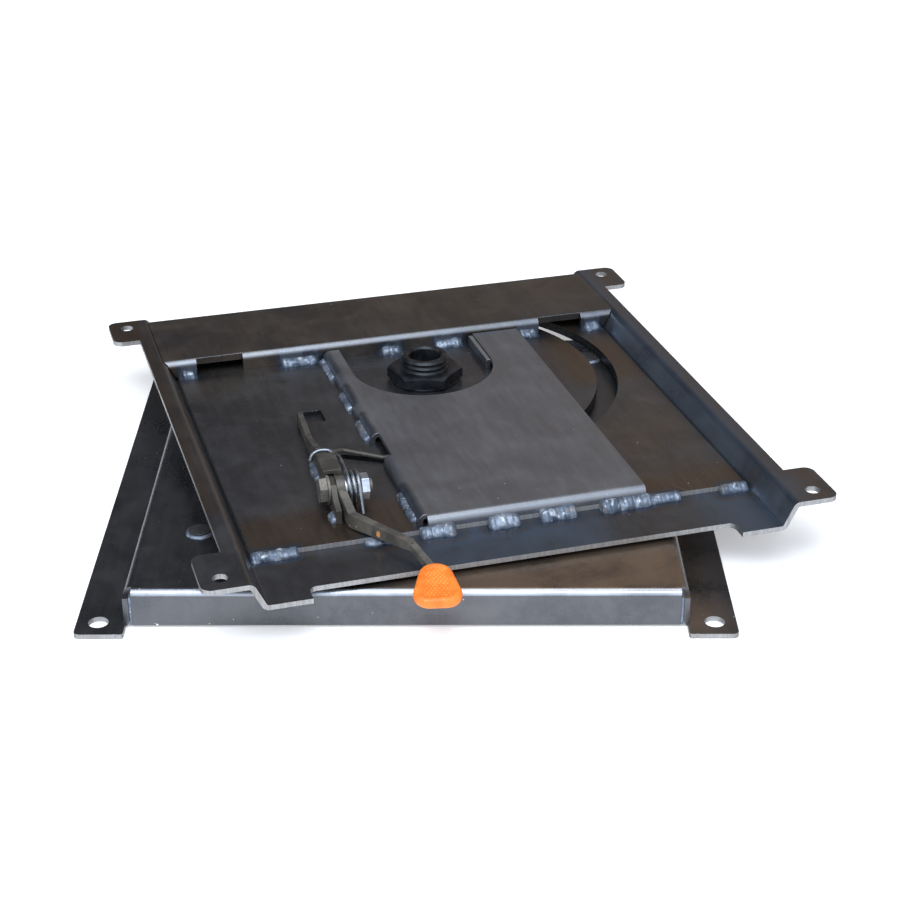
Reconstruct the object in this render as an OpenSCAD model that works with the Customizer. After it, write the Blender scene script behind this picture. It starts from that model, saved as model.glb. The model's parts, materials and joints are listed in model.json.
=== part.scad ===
// Locking seat swivel: a folded lower base, a folded upper turntable that turns on a
// hollow threaded spigot, and a sprung hand lever that lifts a lock pin.
// Own frame: the pivot axis is the Z axis, the feet of the base stand on Z = 0, and -Y is
// the front. The turntable is drawn turned by rest_turn, its resting pose.

/* [Sheet metal] */
// Thickness of every folded sheet
sheet_t = 3.5; // [3:0.25:4]
// Inside radius of every fold
fold_r = 2; // [1.5:0.25:2.5]

/* [Lower base] */
// Distance over the two side walls
base_w = 360; // [350:1:370]
// Length of the side feet from front to rear
base_l = 422; // [418:1:426]
// Height of the flat top above the ground
base_h = 27; // [25:0.5:30]
// Width of each foot outside its wall
foot_w = 30.5; // [28:0.5:34]
// How far the feet reach beyond the front and rear walls
foot_reach = 13.6; // [12:0.2:16]
// Distance from the pivot axis to the front ends of the feet
base_front = 310; // [308:1:312]
// Sideways offset of the base centre from the pivot axis
base_shift = -9; // [-12:0.5:-6]
// Diameter of the four base fixing holes
base_hole_d = 13; // [11:0.5:14]
// Spacing of the base fixing holes, the same both ways
base_pitch = 393; // [388:0.5:396]

/* [Turntable] */
// Half the width of the tray bottom
tray_half = 174; // [172:0.5:176]
// Rise of the rails above the tray bottom
tray_rise = 16.5; // [15:0.5:18]
// How far each web leans outward over its rise
web_lean = 8; // [6:0.5:10]
// Half the distance over the rail flanges
rail_half = 194; // [192:0.5:196]
// Half the distance over the corner ears
ear_half = 214; // [210:0.5:218]
// Length of the two front ears
front_ear_l = 45; // [40:1:50]
// Length of the two rear ears
rear_ear_l = 40; // [36:1:44]
// Distance from the pivot axis to the front of the tray
tray_front = 284; // [282:1:286]
// Distance from the pivot axis to the rear of the tray
tray_rear = 144; // [142:1:146]
// Sideways offset of the tray centre from the pivot axis
tray_shift = -8; // [-9:0.5:-7]
// Diameter of the four seat fixing holes
ear_hole_d = 10; // [8.5:0.5:11]
// Spacing of the seat fixing holes, the same both ways
ear_pitch = 401; // [396:0.5:404]
// Running gap between the base and the turntable
turn_gap = 3; // [2.5:0.5:4]

/* [Pivot and stops] */
// Outside diameter of the threaded spigot
spigot_d = 36; // [35:0.5:36]
// Bore through the spigot
spigot_bore = 24; // [20:0.5:26]
// Size of the spigot nut across its flats
nut_af = 50; // [50:0.5:55]
// Radius of the arc slot centre line
slot_r = 139.5; // [138:0.5:141]
// Width of the arc slot
slot_w = 16; // [14:0.5:17]
// Diameter of the stop stud that rides in the arc slot
stud_d = 12; // [10:0.5:12]
// Angle between two locked positions
index_step = 16.5; // [16.5:0.1:16.5]
// Locked positions clockwise of straight ahead
steps_back = 6; // [4:1:6]
// Locked positions anticlockwise of straight ahead
steps_on = 4; // [2:1:4]

/* [Lever and lock] */
// Thickness of the lever bar
bar_t = 5.5; // [5:0.25:5.5]
// Thickness of the bracket beside the lever
bracket_t = 4; // [3.5:0.25:4]
// Depth of the lever bar
bar_h = 10; // [8:0.5:11]
// Diameter of the lever bolt
bolt_d = 10; // [8:0.5:10]
// Wire diameter of the torsion spring
wire_d = 2.9; // [2.5:0.1:3]
// Diameter of the release rod
rod_d = 3.6; // [3:0.1:3.6]
// Diameter of the lock pin
pin_d = 8; // [6:0.5:8]
// Length of the hand grip
grip_l = 40; // [38:0.5:42]
// Width of the hand grip
grip_w = 31; // [28:0.5:33]

/* [Hidden] */
$fn = 64;

steel = [0.16, 0.16, 0.18];
weld_c = [0.45, 0.47, 0.52];
zinc = [0.7, 0.72, 0.75];
orange = [0.95, 0.42, 0.08];
dark = [0.08, 0.08, 0.09];
eps = 0.01;
lap = 0.03;

fold_o = fold_r + sheet_t;
half_w = base_w / 2;
wall_front = base_front - foot_reach;
base_rear = base_l - base_front;
wall_rear = base_rear - foot_reach;
wall_lift = 1.8;
hole_front = base_front - (base_l - base_pitch) / 2;

tray_z = base_h + turn_gap;
tray_top = tray_z + sheet_t;
floor_top = tray_top + sheet_t;
rail_z = tray_top + tray_rise;
lean = atan(tray_rise / web_lean);
low_tan = fold_r * tan(lean / 2);
high_tan = fold_o * tan(lean / 2);
flange_in = tray_half + web_lean + high_tan;
tray_l = tray_front + tray_rear;
tab_w = 29;
tab_reach = 14;
floor_front = 226;
floor_rear = 130;
floor_half = tray_half - low_tan - 0.1;
ear_front = -tray_front + (tray_l - ear_pitch) / 2;

rest_turn = index_step;
slot_top = 55;
stud_turn = slot_top - steps_back * index_step;
stud_end_gap = 0.4;
slot_trim = asin((slot_w / 2 - stud_d / 2 - stud_end_gap) / slot_r);
slot_from = slot_top - (steps_back + steps_on) * index_step + slot_trim;
slot_to = slot_top - slot_trim;

rail_front = 55;
rail_rear = 142;
rail_window_w = 36;

cover_top = 45;
cover_left = 67.5;
cover_right = 91.5;
cover_rear = 53.5;
cut_r = 54.5;
cut_v = 8;
window_front = -131;
window_rear = -96;
rib_front = 4;
rib_rear = 52;
rib_h = 7;

bolt_u = -111.1;
bolt_v = -178.5;
bolt_z = 50;
lever_toe = -3;
lever_gap = 0.3;
bracket_x = -6.4;
bracket_top = 7;
lever_x = bracket_x + bracket_t + lever_gap;
lever_mid = lever_x + bar_t / 2;
lever_right = lever_x + bar_t;
washer_d = 20;
bolt_washer_t = 1.6;
hex_r = 9.2;
bolt_head_h = 5.4;
lever_nut_h = 5.4;
bolt_past = 2.5;
sleeve_d = 16;
coil_x = lever_right + 1;
coil_r = 10.5;
coil_turns = 3;
coil_pitch = wire_d + 0.4;
coil_w = coil_turns * coil_pitch;
nut_x = coil_x + coil_w + 0.5;
hook_y = 40;
hook_z = 8.5;
eye_r = 9;
neck_y = 2;
neck_top = 8.5;
neck_low = -8;
rear_arm_l = 60;
rear_arm_top = -1;
rear_arm_low = -8;
bend_y = -9.5;
elbow_x = 3.3;
elbow_y = -31;
elbow_z = -12.2;
flat_turn = atan((elbow_x - lever_mid) / (bend_y - elbow_y));
flat_l = norm([elbow_x - lever_mid, bend_y - elbow_y]);
arm_turn = 37;
arm_l = 50;
arm_rise = 1.4;
arm_drop = 2.4;
stem_turn = 19;
stem_tilt = 13;
stem_l = 28;
stem_w = 4.6;
stem_h = 4.6;
grip_t = 7.5;
grip_top_r = 11.2;
grip_low_r = 10.5;
stop_from = 5;
stop_to = 31;
stop_over = 3;
stop_low = 9;
stop_web_to = 20;

pin_u = 0;
pin_v = -115;
pin_low = base_h + 0.3;
lock_slot_l = 13;
lock_slot_w = pin_d + 1;
rod_slot_w = rod_d + 3.6;
rod_low = cover_top - sheet_t - 0.3 - rod_d / 2;
rod_path = [
  [-104, -118.4, 45.4],
  [-99, -114, 44.2],
  [-91.3, -109.2, 42],
  [-65.6, -124, rod_low + 0.2],
  [pin_u - 3, pin_v, rod_low],
];
thread_pitch = 4;
thread_turns = 5;
thread_deep = 1.5;
spigot_top = 57.5;
nut_low = floor_top + 0.2;
washer_t = 1.8;
nut_h = 8.5;

// Everything that turns with the seat, at its resting turn
module turned() {
  rotate([0, 0, rest_turn]) children();
}

// Local frame of the lever: the bolt axis is X and the rear is Y
module at_lever() {
  turned() translate([bolt_u, bolt_v, bolt_z]) rotate([0, 0, lever_toe]) children();
}

// A flat fold: ring sector of the sheet between two angles
module fold_2d(a0, a1) {
  reach = 3 * fold_o;
  mid = (a0 + a1) / 2;
  intersection() {
    difference() {
      circle(fold_o);
      circle(fold_r);
    }
    polygon([
      [0, 0],
      [reach * cos(a0), reach * sin(a0)],
      [reach * cos(mid), reach * sin(mid)],
      [reach * cos(a1), reach * sin(a1)],
    ]);
  }
}

// Rectangle with rounded corners, from its low corner
module round_rect(w, l, r) {
  translate([r, 0]) square([w - 2 * r, l]);
  translate([0, r]) square([w, l - 2 * r]);
  for (x = [r, w - r]) {
    for (y = [r, l - r]) {
      translate([x, y]) circle(r);
    }
  }
}

// Straight round bar between two points
module rod_between(a, b, d) {
  v = b - a;
  len = norm(v);
  translate(a) rotate([0, acos(v[2] / len), atan2(v[1], v[0])]) cylinder(h = len, d = d);
}

// Round bar along a list of points; each length runs a little past its bends
module bent_rod(points, d) {
  for (i = [0 : len(points) - 2]) {
    a = points[i];
    b = points[i + 1];
    past = d * 0.22 * (b - a) / norm(b - a);
    rod_between(i == 0 ? a : a - past, i == len(points) - 2 ? b : b + past, d);
  }
}

// Right half of the base section: half top, wall and the start of the foot
module base_half_section() {
  translate([-eps, base_h - sheet_t]) square([half_w - fold_o + eps, sheet_t]);
  translate([half_w - fold_o, base_h - fold_o]) fold_2d(0, 90);
  translate([half_w - sheet_t, fold_o]) square([sheet_t, base_h - 2 * fold_o]);
  translate([half_w + fold_r, fold_o]) fold_2d(180, 270);
}

// Front or rear wall of the base with its fold
module base_end_wall() {
  translate([0, base_h - fold_o]) fold_2d(0, 90);
  translate([fold_r, wall_lift]) square([sheet_t, base_h - fold_o - wall_lift]);
}

module base_pan() color(steel) {
  difference() {
    translate([base_shift, 0, 0]) union() {
      for (s = [0, 1]) {
        mirror([s, 0, 0]) {
          translate([0, wall_rear - fold_o, 0]) rotate([90, 0, 0])
            linear_extrude(wall_front + wall_rear - 2 * fold_o) base_half_section();
          for (y = [-wall_front, wall_rear - fold_o]) {
            translate([half_w - sheet_t, y, fold_o]) cube([sheet_t, fold_o, base_h - 2 * fold_o]);
            translate([half_w + fold_r, y + fold_o, fold_o]) rotate([90, 0, 0])
              linear_extrude(fold_o) fold_2d(180, 270);
          }
          translate([half_w + fold_r, -base_front, 0]) linear_extrude(sheet_t)
            round_rect(foot_w - fold_r, base_l, 4);
          for (y = [-base_front, base_rear - foot_reach]) {
            translate([half_w - 1, y, 0]) linear_extrude(sheet_t)
              round_rect(fold_o, foot_reach, 2);
          }
        }
      }
      for (m = [0, 1]) {
        translate([0, m == 0 ? -wall_front + fold_o : wall_rear - fold_o, 0])
          mirror([0, 1 - m, 0]) translate([-half_w + fold_o, 0, 0])
          rotate([90, 0, 90]) linear_extrude(base_w - 2 * fold_o) base_end_wall();
      }
    }
    for (x = [-base_pitch / 2, base_pitch / 2]) {
      for (y = [0, base_pitch]) {
        translate([base_shift + x, -hole_front + y, -1]) cylinder(h = sheet_t + 2, d = base_hole_d);
      }
    }
    translate([0, 0, base_h - sheet_t - 1]) cylinder(h = sheet_t + 2, d = spigot_d + 0.4);
    for (k = [-steps_back : steps_on]) {
      rotate([0, 0, k * index_step]) translate([pin_u, pin_v, base_h - sheet_t - 1])
        lock_slot(sheet_t + 2);
    }
  }
}

// Radial slot that the lock pin drops into
module lock_slot(h) {
  off = (lock_slot_l - lock_slot_w) / 2;
  for (s = [-1, 1]) {
    translate([0, s * off, 0]) cylinder(h = h, d = lock_slot_w);
  }
  translate([-lock_slot_w / 2, -off, 0]) cube([lock_slot_w, 2 * off, h]);
}

// Weld filling each corner of the base between its walls
module base_corner_welds() color(weld_c) {
  gap = fold_o - sheet_t;
  for (sx = [-1, 1]) {
    for (y = [-wall_front + 2.2, wall_rear - 2.2]) {
      translate([base_shift + sx * (half_w - sheet_t - gap / 2), y, wall_lift])
        translate([-gap / 2, -1.9, 0]) cube([gap, 3.8, base_h - fold_o - wall_lift]);
    }
  }
}

// Low round pads that carry the corners of the turntable
module glide_pads() color(dark) {
  for (x = [-138.6, 138.6]) {
    for (y = [-221, 58]) {
      translate([base_shift + x, y, base_h]) cylinder(h = turn_gap - 0.6, d = 15);
    }
  }
}

// Weld ring round every pad
module glide_welds() color(weld_c) {
  for (x = [-138.6, 138.6]) {
    for (y = [-221, 58]) {
      translate([base_shift + x, y, base_h]) difference() {
        cylinder(h = 1.6, d1 = 20, d2 = 17);
        translate([0, 0, -1]) cylinder(h = 4, d = 15);
      }
    }
  }
}

// Hollow threaded spigot with its flange under the base top
module pivot_spigot() color(dark) {
  low = base_h - sheet_t;
  difference() {
    union() {
      cylinder(h = low, d = spigot_bore + 10);
      translate([0, 0, low - 5]) cylinder(h = 5, d = 78);
      translate([0, 0, low - eps]) cylinder(h = floor_top + 0.2 - low, d = spigot_d);
      translate([0, 0, floor_top]) spigot_thread();
    }
    translate([0, 0, -1]) cylinder(h = spigot_top + 2, d = spigot_bore);
    translate([0, 0, spigot_top - 1.5]) cylinder(h = 2, d1 = spigot_bore, d2 = spigot_bore + 4);
  }
}

// Ridged upper length of the spigot
module spigot_thread() {
  r = spigot_d / 2;
  h = spigot_top - floor_top;
  cylinder(h = h, r = r - thread_deep);
  for (i = [0 : thread_turns - 1]) {
    translate([0, 0, 0.4 + i * thread_pitch]) {
      cylinder(h = 1.5, r1 = r - thread_deep, r2 = r);
      translate([0, 0, 1.5]) cylinder(h = 0.7, r = r);
      translate([0, 0, 2.2]) cylinder(h = 1.5, r1 = r, r2 = r - thread_deep);
    }
  }
}

// Fillet weld that holds the spigot flange under the base top
module spigot_weld() color(weld_c) {
  translate([0, 0, base_h - sheet_t - 4]) difference() {
    cylinder(h = 4, d1 = 80, d2 = 86);
    translate([0, 0, -1]) cylinder(h = 6, d = 78);
  }
}

// Slippery ring between the base and the turntable
module friction_ring() color(dark) {
  translate([0, 0, base_h]) difference() {
    cylinder(h = turn_gap - 0.2, d = 196);
    translate([0, 0, -1]) cylinder(h = turn_gap + 2, d = 60);
  }
}

// Stud on the base that meets the two ends of the arc slot
module stop_stud() color(dark) {
  rotate([0, 0, stud_turn]) translate([slot_r, 0, base_h]) {
    cylinder(h = floor_top - base_h - 1.5, d = stud_d);
    translate([0, 0, floor_top - base_h - 1.5]) cylinder(h = 1, d1 = stud_d, d2 = stud_d - 2);
  }
}

module pivot_washer() color(dark) {
  translate([0, 0, nut_low]) difference() {
    cylinder(h = washer_t, d = nut_af + 2);
    translate([0, 0, -1]) cylinder(h = washer_t + 2, d = spigot_d + 0.6);
  }
}

// Thin hexagon nut with its two flats facing the front and rear
module pivot_nut() color(dark) {
  z0 = nut_low + washer_t;
  r = nut_af / 2 / cos(30);
  drop = 2;
  translate([0, 0, z0]) difference() {
    intersection() {
      cylinder(h = nut_h, r = r, $fn = 6);
      union() {
        cylinder(h = nut_h - drop, r = r + 1);
        translate([0, 0, nut_h - drop]) cylinder(h = drop, r1 = r + 1, r2 = nut_af / 2 - 1);
      }
    }
    translate([0, 0, -1]) cylinder(h = nut_h + 2, d = spigot_d + 0.3);
  }
}

// Right half of the tray section up to the flange
module tray_half_section() {
  d = [cos(lean), sin(lean)];
  n = [sin(lean), -cos(lean)];
  b = [tray_half, tray_top] + low_tan * d;
  c = [tray_half + web_lean, rail_z] - high_tan * d;
  translate([-eps, tray_z]) square([tray_half - low_tan + eps, sheet_t]);
  translate([tray_half - low_tan, tray_top + fold_r]) fold_2d(-90, -90 + lean);
  b0 = b - lap * d;
  c0 = c + lap * d;
  polygon([b0, b0 + sheet_t * n, c0 + sheet_t * n, c0]);
  translate([flange_in, rail_z - fold_o]) fold_2d(90, 90 + lean);
  translate([flange_in, rail_z - sheet_t]) square([rail_half - flange_in, sheet_t]);
}

// Corner ear with two rounded outer corners
module ear(y0, l) {
  r = 7;
  translate([rail_half - r, y0, rail_z - sheet_t]) linear_extrude(sheet_t) {
    round_rect(ear_half - rail_half + r, l, r);
    square([2 * r, l]);
  }
}

// Arc slot with round ends, cut through both plates of the turntable
module arc_slot(z0, h) {
  span = slot_to - slot_from;
  translate([0, 0, z0]) {
    rotate([0, 0, slot_from]) rotate_extrude(angle = span)
      translate([slot_r - slot_w / 2, 0]) square([slot_w, h]);
    for (a = [slot_from, slot_to]) {
      rotate([0, 0, a]) translate([slot_r, 0, 0]) cylinder(h = h, d = slot_w - 0.1);
    }
  }
}

module upper_tray() color(steel) turned() {
  difference() {
    translate([tray_shift, 0, 0]) {
      for (s = [0, 1]) {
        mirror([s, 0, 0]) {
          translate([0, tray_rear, 0]) rotate([90, 0, 0])
            linear_extrude(tray_l) tray_half_section();
          ear(-tray_front, front_ear_l);
          ear(tray_rear - rear_ear_l, rear_ear_l);
        }
      }
    }
    translate([tray_shift - tray_half + tab_w, -tray_front - 10, tray_z - 1])
      linear_extrude(sheet_t + 2) round_rect(2 * (tray_half - tab_w), 10 + tab_reach, 5);
    for (x = [-ear_pitch / 2, ear_pitch / 2]) {
      for (y = [0, ear_pitch]) {
        translate([tray_shift + x, ear_front + y, rail_z - sheet_t - 1])
          cylinder(h = sheet_t + 2, d = ear_hole_d);
      }
    }
    translate([0, 0, tray_z - 1]) cylinder(h = sheet_t + 2, d = spigot_d + 0.16);
    arc_slot(tray_z - 1, sheet_t + 2);
    translate([pin_u, pin_v, tray_z - 1]) lock_slot(sheet_t + 2);
  }
}

// Slot through the floor plate that follows the rod between two of its bends
module slot_between(a, b, w) {
  dx = b[0] - a[0];
  dy = b[1] - a[1];
  len = norm([dx, dy]);
  h = sheet_t + 2;
  translate([a[0], a[1], tray_top - 1]) rotate([0, 0, atan2(dy, dx)]) {
    translate([0, -w / 2, 0]) cube([len, w, h]);
    for (x = [0, len]) {
      translate([x, 0, 0]) cylinder(h = h, d = w - 0.1);
    }
  }
}

module floor_plate() color(steel) turned() {
  difference() {
    translate([tray_shift - floor_half, -floor_front, tray_top])
      cube([2 * floor_half, floor_front + floor_rear, sheet_t]);
    translate([0, 0, tray_top - 1]) cylinder(h = sheet_t + 2, d = spigot_d + 0.16);
    arc_slot(tray_top - 1, sheet_t + 2);
    translate([pin_u, pin_v, tray_top - 1]) lock_slot(sheet_t + 2);
    for (i = [2, 3]) {
      slot_between(rod_path[i], rod_path[i + 1], rod_slot_w);
    }
    translate([-107.5, -50, tray_top - 1]) cube([18, 18, sheet_t + 2]);
  }
}

// Quarter-round bead along X in the corner behind and above the point
module corner_bead(x0, x1, y, z, r) {
  intersection() {
    translate([x0, y, z]) rotate([0, 90, 0]) cylinder(h = x1 - x0, r = r);
    translate([x0 - 1, y - 2 * r, z]) cube([x1 - x0 + 2, 2 * r, 2 * r]);
  }
}

// Stitch beads along the front edge of the floor plate
module floor_welds() color(weld_c) turned() {
  for (s = [[-179, -153], [-103, -87], [92.5, 113], [148, 162.5]]) {
    corner_bead(s[0], s[1], -floor_front, tray_top, sheet_t);
  }
}

// Section of the back rail: top, front wall and rear wall
module rail_section() {
  top = rail_z - sheet_t;
  translate([rail_front + fold_o, top]) square([rail_rear - rail_front - 2 * fold_o, sheet_t]);
  translate([rail_front + fold_o, rail_z - fold_o]) fold_2d(90, 180);
  translate([rail_rear - fold_o, rail_z - fold_o]) fold_2d(0, 90);
  translate([rail_front, floor_top]) square([sheet_t, rail_z - fold_o - floor_top]);
  translate([rail_rear - sheet_t, tray_top]) square([sheet_t, rail_z - fold_o - tray_top]);
}

// End shape of the back rail, kept clear of the webs and their folds
module rail_ends_2d() {
  half_low = tray_half - low_tan;
  half_mid = tray_half + web_lean * (rail_z - sheet_t - tray_top) / tray_rise - 0.6;
  half_top = half_mid + 3.2;
  polygon([
    [-half_low, tray_top],
    [half_low, tray_top],
    [half_mid, rail_z - sheet_t],
    [half_mid + 0.8, rail_z - 2],
    [half_mid + 1.9, rail_z - 1],
    [half_top, rail_z],
    [-half_top, rail_z],
    [-half_mid - 1.9, rail_z - 1],
    [-half_mid - 0.8, rail_z - 2],
    [-half_mid, rail_z - sheet_t],
  ]);
}

module back_rail() color(steel) turned() {
  difference() {
    translate([tray_shift, 0, 0]) intersection() {
      translate([-rail_half, 0, 0]) rotate([90, 0, 90]) linear_extrude(2 * rail_half)
        rail_section();
      translate([0, tray_rear, 0]) rotate([90, 0, 0]) linear_extrude(tray_l) rail_ends_2d();
    }
    for (x = [-166, 111]) {
      translate([x, rail_front - 1, floor_top - 1])
        cube([rail_window_w, 4.5, rail_z - floor_top + 2]);
    }
  }
}

// Beads at the foot of the back rail
module rail_welds() color(weld_c) turned() {
  for (s = [[-178, -168], [-100, -72], [-20, -4], [24, 46], [94, 109], [150, 162]]) {
    corner_bead(s[0], s[1], rail_front, floor_top, 4);
  }
}

module centre_cover() color(steel) turned() {
  wall_h = cover_top - fold_o - floor_top;
  under = cover_top - sheet_t;
  difference() {
    union() {
      translate([-cover_left + fold_o, -floor_front + fold_o, under])
        cube([cover_left + cover_right - fold_o, floor_front + cover_rear - fold_o, sheet_t]);
      translate([-cover_left + fold_o, 0, cover_top - fold_o]) translate([0, cover_rear, 0])
        rotate([90, 0, 0]) linear_extrude(floor_front + cover_rear - fold_o) fold_2d(90, 180);
      translate([-cover_left, -floor_front + fold_o, floor_top])
        cube([sheet_t, floor_front + cover_rear - fold_o, wall_h]);
      translate([-cover_left + fold_o, -floor_front + fold_o, cover_top - fold_o])
        rotate([90, 0, 90]) linear_extrude(cover_left + cover_right - fold_o) fold_2d(90, 180);
      translate([-cover_left + fold_o, -floor_front, floor_top])
        cube([cover_left + cover_right - fold_o, sheet_t, wall_h]);
    }
    translate([0, cut_v, under - 1]) cylinder(h = sheet_t + 2, r = cut_r);
    translate([-cut_r, cut_v, under - 1]) cube([2 * cut_r, cover_rear, sheet_t + 2]);
    translate([-cover_left - 1, window_front, floor_top - 1])
      cube([7, window_rear - window_front, cover_top]);
  }
}

// Upright rib inside the right-hand edge of the cut-out
module cover_rib() color(steel) turned() {
  translate([cut_r - sheet_t - 0.3, rib_front, floor_top])
    cube([sheet_t, rib_rear - rib_front, rib_h]);
}

// Beads along the front wall and the left wall of the cover
module cover_welds() color(weld_c) turned() {
  for (s = [[-66, -46], [-19, -2], [17, 38], [60, 92]]) {
    corner_bead(s[0], s[1], -floor_front, tray_top, 4.4);
  }
  for (s = [[-216, -176], [-92, -62], [-40, -12], [16, 52]]) {
    intersection() {
      translate([-cover_left, s[0], floor_top]) rotate([-90, 0, 0])
        cylinder(h = s[1] - s[0], r = 3.2);
      translate([-cover_left - 10, s[0] - 1, floor_top]) cube([10, s[1] - s[0] + 2, 10]);
    }
  }
}

// Upright bracket that carries the lever bolt
module lever_bracket() color(steel) at_lever() {
  low = floor_top - bolt_z;
  translate([bracket_x, 0, 0]) rotate([90, 0, 90]) linear_extrude(bracket_t) difference() {
    polygon([
      [131, low],
      [131, low + 9],
      [86, low + 9],
      [50, bracket_top - 1.5],
      [34, bracket_top],
      [-7, bracket_top],
      [-14, 0],
      [-25, low + 10],
      [-25, low],
    ]);
    circle(d = bolt_d);
  }
}

// Bead at the left foot of the bracket and bead at its front end
module bracket_welds() color(weld_c) at_lever() {
  low = floor_top - bolt_z;
  for (s = [[38, 62], [-24, -12]]) {
    intersection() {
      translate([bracket_x, s[0], low]) rotate([-90, 0, 0]) cylinder(h = s[1] - s[0], r = 4);
      translate([bracket_x - 10, s[0] - 1, low]) cube([10, s[1] - s[0] + 2, 10]);
    }
  }
}

// Hexagon bolt with its head on the left
module lever_bolt() color(dark) at_lever() {
  x0 = bracket_x - bolt_washer_t;
  translate([x0 - bolt_head_h, 0, 0]) rotate([0, 90, 0])
    cylinder(h = bolt_head_h, r = hex_r, $fn = 6);
  translate([x0 - eps, 0, 0]) rotate([0, 90, 0])
    cylinder(h = nut_x + lever_nut_h + bolt_past - x0, d = bolt_d - 0.2);
}

module bolt_washer() color(dark) at_lever() {
  translate([bracket_x - bolt_washer_t, 0, 0]) rotate([0, 90, 0]) difference() {
    cylinder(h = bolt_washer_t, d = washer_d);
    translate([0, 0, -1]) cylinder(h = bolt_washer_t + 2, d = bolt_d);
  }
}

// Sleeve that keeps the spring round and spaces the nut from the lever
module spring_sleeve() color(zinc) at_lever() {
  x0 = lever_right + lever_gap;
  translate([x0, 0, 0]) rotate([0, 90, 0]) difference() {
    cylinder(h = nut_x - x0, d = sleeve_d);
    translate([0, 0, -1]) cylinder(h = nut_x - x0 + 2, d = bolt_d);
  }
}

// Thin hexagon nut with two flats level
module lever_nut() color(zinc) at_lever() {
  translate([nut_x, 0, 0]) rotate([0, 90, 0]) rotate([0, 0, 30]) difference() {
    cylinder(h = lever_nut_h, r = hex_r, $fn = 6);
    translate([0, 0, -1]) cylinder(h = lever_nut_h + 2, d = bolt_d);
  }
}

// Height of a line between two points of the lever's side view
function line_at(y, a, b) = a[1] + (b[1] - a[1]) * (y - a[0]) / (b[0] - a[0]);

// Side view of the lever behind its first bend: eye, rear arm and neck
module lever_flat_2d() {
  circle(r = eye_r);
  polygon([[0, -8], [0, 7], [rear_arm_l, rear_arm_top], [rear_arm_l, rear_arm_low]]);
  polygon([[neck_y, neck_top], [neck_y, neck_low], [bend_y, bend_low()], [bend_y, bend_high()]]);
}

function bend_low() = line_at(bend_y, [neck_y, neck_low], [elbow_y, elbow_z]);
function bend_high() = line_at(bend_y, [neck_y, neck_top], [elbow_y, elbow_z + bar_h]);

// Straight length of bar running forward from a bend, turned to the right
module bar_length(turn, len, low0, high0, low1, high1) {
  translate([0, 0, low0]) cylinder(h = high0 - low0, d = bar_t - 0.1);
  rotate([0, 0, turn]) translate([-bar_t / 2, -len, 0]) rotate([90, 0, 90])
    linear_extrude(bar_t) polygon([[0, low1], [len, low0], [len, high0], [0, high1]]);
}

// Flat lever cranked twice to the right, with a stem inside the grip
module lever_bar() color(steel) at_lever() {
  end_low = elbow_z + arm_rise;
  end_high = elbow_z + bar_h - arm_drop;
  difference() {
    union() {
      translate([lever_x, 0, 0]) rotate([90, 0, 90]) linear_extrude(bar_t) lever_flat_2d();
      translate([lever_mid, bend_y, 0])
        bar_length(flat_turn, flat_l, bend_low(), bend_high(), elbow_z, elbow_z + bar_h);
      translate([elbow_x, elbow_y, 0]) {
        bar_length(arm_turn, arm_l, elbow_z, elbow_z + bar_h, end_low, end_high);
        rotate([0, 0, arm_turn]) translate([0, -arm_l, end_low])
          cylinder(h = end_high - end_low, d = bar_t - 0.1);
      }
      at_stem() lever_stem(0);
    }
    translate([lever_x - 1, 0, 0]) rotate([0, 90, 0]) cylinder(h = bar_t + 2, d = bolt_d - 0.06);
  }
}

// Frame of the stem, whose length runs forward and down from the end of the front arm
module at_stem() {
  x = elbow_x + arm_l * sin(arm_turn);
  y = elbow_y - arm_l * cos(arm_turn);
  z = elbow_z + (bar_h - arm_drop + arm_rise) / 2;
  translate([x, y, z]) rotate([0, 0, stem_turn]) rotate([stem_tilt, 0, 0]) children();
}

// Flat stem, or the pocket for it when grown
module lever_stem(grow) {
  w = stem_w + 2 * grow;
  h = stem_h + 2 * grow;
  translate([0.6 - w / 2, -stem_l - grow, -h / 2]) cube([w, stem_l + grow, h]);
}

// Frame of the grip: its length runs forward and down along the stem
module at_grip() {
  translate([44.4, -92.6, -13]) rotate([0, 0, -9.5]) rotate([7, 0, 0]) children();
}

// Step on the lever that rests on the bracket when the pin is down
module lever_stop() color(steel) at_lever() {
  x0 = bracket_x - stop_over;
  translate([x0, stop_from, stop_low]) cube([lever_right - x0, stop_to - stop_from, 3]);
  translate([lever_x, 0, 0]) rotate([90, 0, 90]) linear_extrude(bar_t) difference() {
    translate([stop_from, 0]) square([stop_web_to - stop_from, stop_low + eps]);
    lever_flat_2d();
  }
}

// Unit vector at an angle
function spoke(a) = [cos(a), sin(a)];

// Outline of the hand grip: one round end at the stem and two wider ones at the front
module grip_2d() {
  top_r = grip_top_r;
  low_r = grip_low_r;
  top = [0, grip_l - top_r];
  low = [grip_w / 2 - low_r, low_r];
  side = top - low;
  tangent = atan2(side[1], side[0]) - acos((low_r - top_r) / norm(side));
  top_edge = top + (top_r - 0.05) * spoke(tangent);
  low_edge = low + (low_r - 0.05) * spoke(tangent);
  translate(top) circle(top_r);
  for (x = [-low[0], low[0]]) {
    translate([x, low_r]) circle(low_r);
  }
  translate([-low[0], 0.05]) square([2 * low[0], low_r]);
  polygon([
    low,
    low_edge,
    top_edge,
    top,
    [-top_edge[0], top_edge[1]],
    [-low_edge[0], low_edge[1]],
    [-low[0], low[1]],
  ]);
}

// Flat hand grip pushed over the stem
module lever_grip() color(orange) at_lever() {
  difference() {
    at_grip() translate([0, -grip_l, -grip_t / 2]) linear_extrude(grip_t) grip_2d();
    at_stem() lever_stem(0.05);
  }
}

// Rod from the lever through the cover window to the lock pin
module release_rod() color(dark) turned() {
  bent_rod(rod_path, rod_d);
}

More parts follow.
